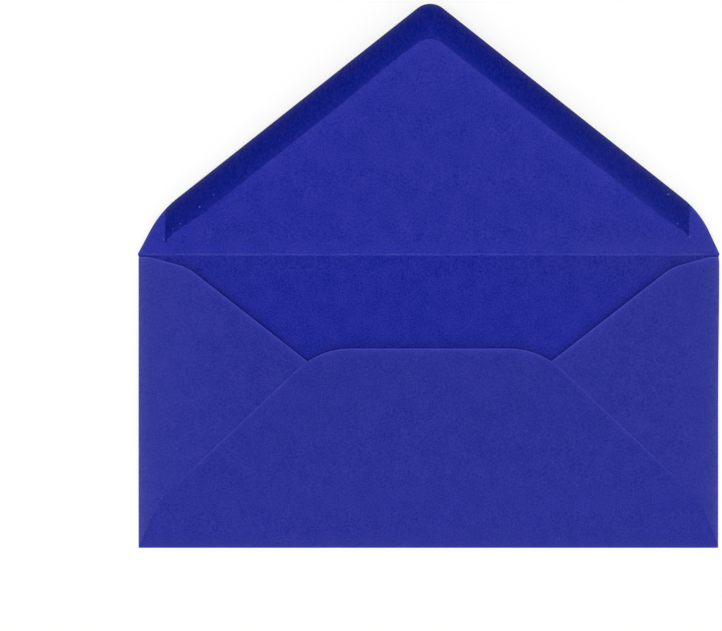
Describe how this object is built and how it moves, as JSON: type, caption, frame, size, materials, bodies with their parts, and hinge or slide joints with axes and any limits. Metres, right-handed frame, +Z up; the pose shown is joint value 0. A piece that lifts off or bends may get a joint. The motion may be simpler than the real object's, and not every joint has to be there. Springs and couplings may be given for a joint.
{
  "type": "paper envelope",
  "caption": "Long landscape envelope folded from one blue sheet, lying on its address face, pointed gummed flap opened, side flaps glued under the bottom flap.",
  "frame": {"origin": "under the middle of the opened envelope's bounding box, on the surface that it lies on", "axes": "+X along the width, to the right when the closing flap points up the page; +Y from the body towards the closing flap's tip; +Z up, away from the address face"},
  "size_m": [0.2206, 0.2062, 0.0028],
  "materials": {
    "paper": "matte dyed paper with a fine grain",
    "gum": "dried remoistening gum, thin satin film over the paper",
    "seam_glue": "dried seam glue soaked into the paper"
  },
  "bodies": {
    "root": {"envelope_sheet": "paper", "flap_gum": "gum", "seam_glue_left": "seam_glue", "seam_glue_right": "seam_glue"}
  },
  "joints": []
}
